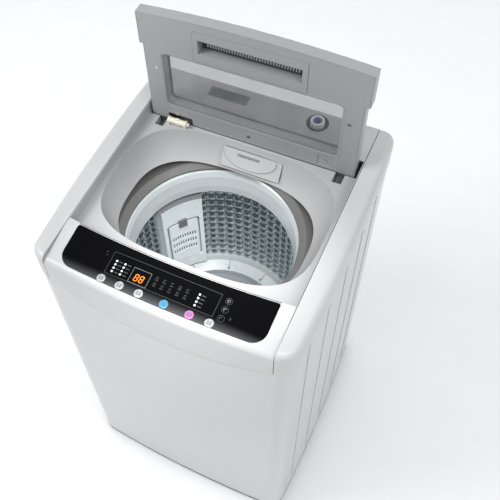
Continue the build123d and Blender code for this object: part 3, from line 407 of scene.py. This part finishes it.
def pillow(u, v):
    """Height of one pressed pillow at -1..1 across and up."""
    across = max(0.0, 1 - abs(u / 0.78) ** 2.4)
    up = max(0.0, 1 - abs(v / 0.90) ** 2.2)
    return (across * up) ** 0.75


def drum_wall():
    """Pressed stainless wall with rows of pillows."""
    bm = bmesh.new()
    inner_r = DRUM_R - 1.4 * MM
    z_low, z_high = DRUM_LO[2], DRUM_HI[2]
    rows = int((z_high - z_low - PATTERN_MARGIN) / DRUM_ROW)
    start = z_low + PATTERN_START
    heights = [z_low, start - 2 * MM]
    heights += [start + DRUM_ROW * i / ROW_STEPS for i in range(rows * ROW_STEPS + 1)]
    heights.append(z_high)
    around = DRUM_COLUMNS * COLUMN_STEPS
    grid = []
    for z in heights:
        v = ((z - start) / DRUM_ROW % 1.0) * 2 - 1
        inside = start < z < start + rows * DRUM_ROW
        line = []
        for i in range(around):
            u = ((i / COLUMN_STEPS) % 1.0) * 2 - 1
            r = inner_r - (PILLOW_DEPTH * pillow(u, v) if inside else 0.0)
            a = 2 * math.pi * i / around
            line.append(bm.verts.new((AXIS_X + r * math.cos(a), AXIS_Y + r * math.sin(a), z)))
        grid.append(line)
    for j in range(len(heights) - 1):
        for i in range(around):
            k = (i + 1) % around
            bm.faces.new((grid[j][i], grid[j][k], grid[j + 1][k], grid[j + 1][i]))
    wall = piece("drum_wall_pressed", bm, "drum", ["drum"])
    thick = wall.modifiers.new("sheet", "SOLIDIFY")
    thick.thickness = SHEET
    thick.offset = 1.0
    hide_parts("drum_basket")


def drum_hole_shade():
    """Drain holes between the pillows, drawn as dark discs of painted shade in place of openings.
    """
    bm = bmesh.new()
    r = DRUM_R - 1.5 * MM
    for j in range(HOLE_ROWS):
        z = DRUM_LO[2] + PATTERN_START + DRUM_ROW * (j + 1)
        for i in range(DRUM_COLUMNS):
            a = 2 * math.pi * i / DRUM_COLUMNS
            centre = Vector((AXIS_X + r * math.cos(a), AXIS_Y + r * math.sin(a), z))
            across = Vector((-math.sin(a), math.cos(a), 0))
            inward = Vector((-math.cos(a), -math.sin(a), 0)) * 0.25 * MM
            ring = [centre + (across * math.cos(t) + Vector((0, 0, 1)) * math.sin(t)) * HOLE_R
                    for t in (2 * math.pi * k / 8 for k in range(8))]
            # each dark disc is painted shade standing in for a hole
            prism(bm, [p - inward for p in ring], [p + inward for p in ring])
    piece("drum_hole_shade", bm, "drum", ["shadow"], smooth=False)


# ---- lint filter ----------------------------------------------------------------------
FILTER_DEG = 140.0            # where the filter column stands round the drum
WEDGE_STEPS = 8


def wedge(bm, r0, r1, half_deg, z0, z1):
    """Closed slab that follows the drum wall at the filter."""
    angles = [math.radians(FILTER_DEG - half_deg + 2 * half_deg * i / WEDGE_STEPS)
              for i in range(WEDGE_STEPS + 1)]
    outline = [(AXIS_X + r1 * math.cos(a), AXIS_Y + r1 * math.sin(a)) for a in angles]
    outline += [(AXIS_X + r0 * math.cos(a), AXIS_Y + r0 * math.sin(a)) for a in reversed(angles)]
    prism(bm, [(x, y, z0) for x, y in outline], [(x, y, z1) for x, y in outline])


def filter_details():
    """Grey latch, dark sheet behind the slots (the mesh bag, painted black as the shade inside the
    column), painted shadow line above the cassette and painted shade on the sloping top of the
    column.
    """
    bm = bmesh.new()
    wedge(bm, 160.9 * MM, 165.6 * MM, 3.4, 607 * MM, 632.6 * MM)
    piece("filter_latch", bm, "filter_cassette", ["latch"], smooth=False)
    bm = bmesh.new()
    # dark sheet behind the slots: the mesh bag, painted black as the shade inside the column
    wedge(bm, 167.6 * MM, 168.1 * MM, 10.2, 500 * MM, 592 * MM)
    piece("filter_mesh_and_shade", bm, "filter_cassette", ["shadow"], smooth=False)
    bm = bmesh.new()
    # painted shadow line along the gap above the cassette's top edge
    wedge(bm, 165.6 * MM, 166.2 * MM, 12.6, 621.8 * MM, 624.6 * MM)
    piece("filter_gap_shadow_line", bm, "drum", ["slot_bed"], smooth=False)
    bm = bmesh.new()
    # painted shade: dark grey cap over the column's upward-facing sloped top, which the lights
    # would make bright
    section = [(165.6, 688.4), (178.6, 703.0), (179.1, 702.6), (166.1, 688.0)]
    steps, half = 16, 16.4
    rings = []
    for i in range(steps + 1):
        a = math.radians(FILTER_DEG - half + 2 * half * i / steps)
        rings.append([bm.verts.new((AXIS_X + r * MM * math.cos(a),
                                    AXIS_Y + r * MM * math.sin(a), z * MM)) for r, z in section])
    for a, b in zip(rings, rings[1:]):
        for k in range(4):
            bm.faces.new((a[k], a[(k + 1) % 4], b[(k + 1) % 4], b[k]))
    bm.faces.new(rings[0])
    bm.faces.new(rings[-1][::-1])
    piece("filter_column_top_shade", bm, "drum", ["latch"], smooth=False)


# ---- control panel --------------------------------------------------------------------
def frame_line(bm, x0, x1, y0, y1, width, material):
    """Four thin bars round a rectangle on the panel."""
    x_mid, y_mid = (x0 + x1) / 2, (y0 + y1) / 2
    for outline in (rect(x_mid, y0, x1 - x0, width), rect(x_mid, y1, x1 - x0, width),
                    rect(x0, y_mid, width, y1 - y0), rect(x1, y_mid, width, y1 - y0)):
        panel_patch(bm, outline, material)


def seven_segments(bm, x, y, height, material):
    """Digit eight drawn with seven bars that lean a little."""
    half_w, half_h, bar = height * 0.25, height / 2, height * 0.10
    lean = 0.12
    bars = [(0, half_h, 1), (0, 0, 1), (0, -half_h, 1), (-half_w, half_h / 2, 0),
            (half_w, half_h / 2, 0), (-half_w, -half_h / 2, 0), (half_w, -half_h / 2, 0)]
    for dx, dy, flat in bars:
        size = (half_w * 1.6, bar) if flat else (bar, half_h * 0.82)
        outline = [(px + lean * (py - y), py) for px, py in rect(x + dx, y + dy, *size)]
        panel_patch(bm, outline, material)


def panel_prints():
    """Printed frame, lamps, digits and plain symbols on the black panel."""
    bm = bmesh.new()
    dim, grey, lamp, digit = 0, 1, 2, 3
    frame_line(bm, -106 * MM, 100.5 * MM, -229 * MM, -186.5 * MM, 0.7 * MM, dim)
    frame_line(bm, -60 * MM, -26 * MM, -228 * MM, -200 * MM, 0.8 * MM, grey)
    for x in (-94.5, -78.0, 65.5):
        for row in range(4):
            y = -201.5 - 6.9 * row
            panel_patch(bm, rect(x * MM, y * MM, 3.2 * MM, 3.2 * MM), lamp)
            panel_patch(bm, rect((x + 8) * MM, y * MM, 7 * MM, 1.8 * MM), dim)
    for x in (-48.5, -38.5):
        seven_segments(bm, x * MM, -216.5 * MM, 12 * MM, digit)
    for column in range(5):
        for row in range(2):
            x, y = (-14.3 + 14.6 * column) * MM, (-202.8 - 11.3 * row) * MM
            for strip in arc_strip(x, y, 1.7 * MM, 2.4 * MM, 0, 360 - 60 * (column % 3), 12):
                panel_patch(bm, strip, dim)
            panel_patch(bm, rect(x, y - 4.4 * MM, 6 * MM, 1.1 * MM), dim)
    for i, y in enumerate((-193.6, -209.6, -226.0)):
        for strip in arc_strip(115.3 * MM, y * MM, 5.5 * MM, 6.1 * MM, 0, 360):
            panel_patch(bm, strip, dim)
        for strip in arc_strip(115.3 * MM, y * MM, 1.6 * MM, 3.0 * MM, 30 * i, 300 - 40 * i, 14):
            panel_patch(bm, strip, grey if i < 2 else dim)
    panel_patch(bm, rect(130 * MM, -221.5 * MM, 1.6 * MM, 4 * MM), dim)
    panel_patch(bm, rect(-118.5 * MM, -191.7 * MM, 2 * MM, 2 * MM), dim)
    panel_patch(bm, rect(-117 * MM, -197.3 * MM, 2 * MM, 2 * MM), dim)
    piece("panel_prints", bm, "cabinet", ["print_dim", "print_grey", "lamp", "digit"],
          smooth=False)


def rear_edge_shade_line():
    """Fine dark line of painted shade in the strip between the panel and the ledge, where the
    fascia's rear edge drops to the ledge.
    """
    # painted shade of the drop behind the fascia, drawn on the strip's top
    bm = bmesh.new()
    steps = 40
    half, bow = 195.0, 8.3
    back = OVERLAY_HI[1] + 2.2 * MM
    points = []
    for i in range(steps + 1):
        x = half * (2 * i / steps - 1)
        points.append((x * MM, back - bow * (1 - (x / half) ** 2) * MM))
    for (x0, y0), (x1, y1) in zip(points, points[1:]):
        w = 0.55 * MM
        panel_patch(bm, [(x0, y0 - w), (x1, y1 - w), (x1, y1 + w), (x0, y0 + w)], 0,
                    thick=0.35 * MM)
    piece("rear_edge_shade_line", bm, "cabinet", ["slot_bed"], smooth=False)


def button_marks():
    """Four short printed bars on each button."""
    for name in BUTTONS:
        x, y, _ = box_centre(name)
        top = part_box(name)[1][2]
        bm = bmesh.new()
        for dx, dy, w in ((-2.3, 1.9, 3.2), (2.3, 1.9, 3.0), (-2.3, -1.9, 3.0), (2.3, -1.9, 3.4)):
            outline = rect(x + dx * MM, y + dy * MM, w * MM, 2.3 * MM)
            prism(bm, [(px, py, top - 0.1 * MM) for px, py in outline],
                  [(px, py, top + 0.12 * MM) for px, py in outline])
        piece(name + "_mark", bm, name, ["mark"], smooth=False)


# ---- top frame details ----------------------------------------------------------------
WELL_FLOOR = 871 * MM
THREAD_START = 877 * MM
THREAD_PITCH = 1.8 * MM
MESH_R = 6.4                  # strainer mesh, in mm
MESH_STEP = 1.7
BEAD_SINK = 0.3 * MM          # the bead starts this far inside the lid's face
PANE_CORNER = 9 * MM
COLLAR_WALL = 2.4 * MM
SCREW_R = 4 * MM
SCREW_STEPS = 20


def inlet_details():
    """Black lining of the inlet well as painted shade in the recess round the nozzle, thread on
    the inlet and mesh over the strainer.
    """
    # painted shade: black ring and lining in the recess round the inlet
    bm = bmesh.new()
    top = DECK_TOP + 0.4 * MM
    lathe(bm, [(21.5 * MM, DECK_TOP - 0.2 * MM), (21.5 * MM, top), (18.2 * MM, top),
               (17.6 * MM, top - 1 * MM), (17.6 * MM, WELL_FLOOR + 1 * MM),
               (13.5 * MM, WELL_FLOOR + 1 * MM), (13.5 * MM, WELL_FLOOR), (18.3 * MM, WELL_FLOOR),
               (18.3 * MM, DECK_TOP - 0.2 * MM)], NOZZLE_X, NOZZLE_Y)
    piece("inlet_well_shade", bm, "cabinet", ["dark"])
    bm = bmesh.new()
    z = THREAD_START
    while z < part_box("inlet_valve")[1][2] - 3 * MM:
        lathe(bm, [(13.0 * MM, z), (13.9 * MM, z + 0.7 * MM), (13.0 * MM, z + 1.4 * MM)],
              NOZZLE_X, NOZZLE_Y)
        z += THREAD_PITCH
    piece("inlet_thread", bm, "cabinet", ["valve"])
    bm = bmesh.new()
    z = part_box("inlet_filter")[0][2] + 6.2 * MM
    for i in range(-3, 4):
        reach = math.sqrt(max(0.0, MESH_R ** 2 - (i * MESH_STEP) ** 2)) * MM
        for swap in (False, True):
            outline = rect(0, i * MESH_STEP * MM, 2 * reach, 0.5 * MM)
            points = [(b, a) if swap else (a, b) for a, b in outline]
            prism(bm, [(NOZZLE_X + a, NOZZLE_Y + b, z) for a, b in points],
                  [(NOZZLE_X + a, NOZZLE_Y + b, z + 0.5 * MM) for a, b in points])
    piece("strainer_mesh", bm, "cabinet", ["strainer"], smooth=False)


def data_plate():
    """Blank foil plate on the rear deck with plain bars."""
    bm = bmesh.new()
    z = DECK_TOP
    x0, x1, y0, y1 = -120 * MM, -36 * MM, 214 * MM, 239 * MM
    corners = [(x0, y0), (x1, y0), (x1, y1), (x0, y1)]
    prism(bm, [(x, y, z - 0.1 * MM) for x, y in corners],
          [(x, y, z + 0.3 * MM) for x, y in corners])
    for row in range(6):
        y = y1 - (3.4 + 3.6 * row) * MM
        length = (70 - 9 * (row % 3)) * MM
        outline = rect(x0 + 5 * MM + length / 2, y, length, 1.2 * MM)
        prism(bm, [(a, b, z + 0.25 * MM) for a, b in outline],
              [(a, b, z + 0.4 * MM) for a, b in outline], 1)
    piece("data_plate", bm, "cabinet", ["plate", "print_dim"], smooth=False)


def rounded_rect(half_w, half_h, radius):
    """Outline of a rectangle with round corners, about its middle."""
    points = []
    for cx, cy, start in ((1, 1, 0), (-1, 1, 90), (-1, -1, 180), (1, -1, 270)):
        for i in range(CORNER_STEPS + 1):
            a = math.radians(start + 90 * i / CORNER_STEPS)
            points.append((cx * (half_w - radius) + radius * math.cos(a),
                           cy * (half_h - radius) + radius * math.sin(a)))
    return points


def bead(bm, outline, centre, y_face, width, depth):
    """Half-round bead that follows a closed outline on the lid's inner face."""
    sections = []
    count = len(outline)
    for i in range(count):
        ax, az = outline[i - 1]
        bx, bz = outline[(i + 1) % count]
        tangent = Vector((bx - ax, bz - az)).normalized()
        nx, nz = tangent[1], -tangent[0]
        px, pz = outline[i]
        ring = []
        for k in range(5):
            t = math.pi * k / 4
            off = math.cos(t) * width / 2
            y = y_face + BEAD_SINK - math.sin(t) * (depth + BEAD_SINK)
            ring.append(bm.verts.new((centre[0] + px + nx * off, y, centre[2] + pz + nz * off)))
        sections.append(ring)
    for i in range(count):
        a, b = sections[i], sections[(i + 1) % count]
        for k in range(5):
            bm.faces.new((a[k], a[(k + 1) % 5], b[(k + 1) % 5], b[k]))


def ring_wall(bm, inner, outer, centre, y0, y1):
    """Closed frame between two outlines in the lid's plane."""
    corners = []
    for outline, y in ((inner, y0), (outer, y0), (outer, y1), (inner, y1)):
        corners.append([bm.verts.new((centre[0] + x, y, centre[2] + z)) for x, z in outline])
    count = len(inner)
    for i in range(count):
        j = (i + 1) % count
        for k in range(4):
            a, b = corners[k], corners[(k + 1) % 4]
            bm.faces.new((a[i], a[j], b[j], b[i]))


def lid_pane():
    """Pane set flush in the lid's inner face, and the collar behind it."""
    lo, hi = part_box("lid_window")
    centre = box_centre("lid_window")
    back_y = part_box("lid_outer_shell")[1][1] - COLLAR_WALL
    half_w, half_h = (hi[0] - lo[0]) / 2 - 2.3 * MM, (hi[2] - lo[2]) / 2 - 2.3 * MM
    bm = bmesh.new()
    outline = [(centre[0] + x, centre[2] + z)
               for x, z in rounded_rect(half_w - 0.2 * MM, half_h - 0.2 * MM, PANE_CORNER)]
    prism(bm, [(x, LID_FACE_Y + 0.3 * MM, z) for x, z in outline],
          [(x, LID_FACE_Y + 2.2 * MM, z) for x, z in outline])
    pane = piece("lid_pane", bm, "lid", ["pane"], smooth=False)
    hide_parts("lid_window")
    bm = bmesh.new()
    ring_wall(bm, rounded_rect(half_w, half_h, PANE_CORNER),
              rounded_rect(half_w + COLLAR_WALL, half_h + COLLAR_WALL, PANE_CORNER + COLLAR_WALL),
              centre, LID_FACE_Y + 2.5 * MM, back_y)
    piece("lid_window_collar", bm, "lid", ["frame"], smooth=False)


def lid_details():
    """Bead round the lid window and the dark bed of the handle slot, painted shade in the slot's
    recess.
    """
    bm = bmesh.new()
    centre = box_centre("lid_window")
    lo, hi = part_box("lid_window")
    half_w, half_h = (hi[0] - lo[0]) / 2 + 2 * MM, (hi[2] - lo[2]) / 2 + 2 * MM
    bead(bm, rounded_rect(half_w, half_h, 12 * MM), centre, LID_FACE_Y, 3.0 * MM, 0.5 * MM)
    piece("lid_window_bead", bm, "lid", ["lid"])
    # painted shade: dark plate on the bed of the handle slot
    bm = bmesh.new()
    lo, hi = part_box("lid_handle_insert")
    bed_y = hi[1] - 2.6 * MM
    z_mid, half_z, half_x = lo[2] + 36 * MM, 15 * MM, 96.5 * MM
    outline = [(-half_x, z_mid - half_z), (half_x, z_mid - half_z), (half_x, z_mid + half_z),
               (-half_x, z_mid + half_z)]
    prism(bm, [(x, bed_y, z) for x, z in outline], [(x, bed_y + 0.6 * MM, z) for x, z in outline])
    piece("handle_slot_bed", bm, "lid", ["slot_bed"], smooth=False)


def screw_head(bm, x, y, z):
    """Domed screw head that faces the back."""
    levels = [(SCREW_R, 0.0), (SCREW_R * 0.9, 0.9 * MM), (SCREW_R * 0.5, 1.4 * MM)]
    turns = [2 * math.pi * k / SCREW_STEPS for k in range(SCREW_STEPS)]
    rings = []
    for r, h in levels:
        rings.append([bm.verts.new((x + r * math.cos(t), y + h, z + r * math.sin(t)))
                      for t in turns])
    for a, b in zip(rings, rings[1:]):
        for k in range(SCREW_STEPS):
            j = (k + 1) % SCREW_STEPS
            bm.faces.new((a[k], a[j], b[j], b[k]))
    bm.faces.new(rings[0])
    bm.faces.new(rings[-1][::-1])


def rear_screws():
    """Screws of the rear panel and of the access cover."""
    bm = bmesh.new()
    panel_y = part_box("rear_panel")[1][1]
    cover_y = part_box("rear_access_cover")[1][1]
    for side in (-1, 1):
        for z in (60, 250, 440, 630, 800):
            screw_head(bm, side * 208 * MM, panel_y, z * MM)
        for z in (110, 430):
            screw_head(bm, side * 122 * MM, cover_y, z * MM)
    piece("rear_screws", bm, "cabinet", ["zinc"])


# ---- stage, light and camera ----------------------------------------------------------
FLOOR_HALF = 9.0
WORLD_STRENGTH = 0.82
DRUM_FILL_PLACE = (0.33, -0.50, 1.95)
DRUM_FILL_TARGET = (-0.04, -0.02, 0.60)
DRUM_FILL_POWER = 125
DRUM_FILL_CONE = 17           # degrees
CAMERA_ANGLES = (36.05, 54.38, -10.07)   # azimuth, elevation and roll in degrees
CAMERA_PLACE = (0.39183, -0.73426, 2.00768)
CAMERA_LENS = 54.9
CAMERA_SHIFT = (0.1894, -0.0730)


def floor():
    mesh = bpy.data.meshes.new("floor")
    bm = bmesh.new()
    bmesh.ops.create_grid(bm, x_segments=8, y_segments=8, size=FLOOR_HALF)
    bm.to_mesh(mesh)
    bm.free()
    mesh.materials.append(surface("studio_floor", (0.93, 0.93, 0.93), 0.75, mottle=0.01))
    obj = bpy.data.objects.new("floor", mesh)
    bpy.context.scene.collection.objects.link(obj)


def area_light(name, place, target, size, power):
    light = bpy.data.lights.new(name, "AREA")
    light.shape = "DISK"
    light.size = size
    light.energy = power
    obj = bpy.data.objects.new(name, light)
    obj.location = place
    obj.rotation_euler = (Vector(target) - Vector(place)).to_track_quat("-Z", "Y").to_euler()
    bpy.context.scene.collection.objects.link(obj)


def studio():
    world = bpy.data.worlds.new("studio")
    world.use_nodes = True
    background = world.node_tree.nodes["Background"]
    background.inputs["Color"].default_value = (0.96, 0.98, 1.0, 1.0)
    background.inputs["Strength"].default_value = WORLD_STRENGTH
    bpy.context.scene.world = world
    area_light("key", (-1.4, -0.9, 2.6), (0, -0.1, 0.8), 1.2, 34)
    area_light("right", (1.5, -0.5, 2.7), (0, 0, 0.7), 1.2, 16)
    lamp = bpy.data.lights.new("drum_fill", "SPOT")
    lamp.energy = DRUM_FILL_POWER
    lamp.spot_size = math.radians(DRUM_FILL_CONE)
    lamp.spot_blend = 0.5
    lamp.shadow_soft_size = 0.12
    obj = bpy.data.objects.new("drum_fill", lamp)
    obj.location = DRUM_FILL_PLACE
    aim = Vector(DRUM_FILL_TARGET) - Vector(DRUM_FILL_PLACE)
    obj.rotation_euler = aim.to_track_quat("-Z", "Y").to_euler()
    bpy.context.scene.collection.objects.link(obj)


def camera():
    azimuth, elevation, roll = (math.radians(v) for v in CAMERA_ANGLES)
    back = Vector((math.sin(azimuth) * math.cos(elevation),
                   -math.cos(azimuth) * math.cos(elevation), math.sin(elevation)))
    level = Vector((math.cos(azimuth), math.sin(azimuth), 0))
    rise = back.cross(level)
    right = level * math.cos(roll) + rise * math.sin(roll)
    up = -level * math.sin(roll) + rise * math.cos(roll)
    data = bpy.data.cameras.new("camera")
    data.sensor_width = 36.0
    data.lens = CAMERA_LENS
    data.shift_x, data.shift_y = CAMERA_SHIFT
    obj = bpy.data.objects.new("camera", data)
    matrix = obj.matrix_world.copy()
    for row in range(3):
        matrix[row][0], matrix[row][1], matrix[row][2] = right[row], up[row], back[row]
    matrix.translation = Vector(CAMERA_PLACE)
    obj.matrix_world = matrix
    bpy.context.scene.collection.objects.link(obj)
    bpy.context.scene.camera = obj


finish_cad_nodes()
drum_wall()
drum_hole_shade()
filter_details()
panel_prints()
rear_edge_shade_line()
button_marks()
inlet_details()
data_plate()
lid_pane()
lid_details()
rear_screws()
floor()
studio()
camera()
bpy.context.scene.view_settings.view_transform = "Standard"

bpy.context.view_layer.update()
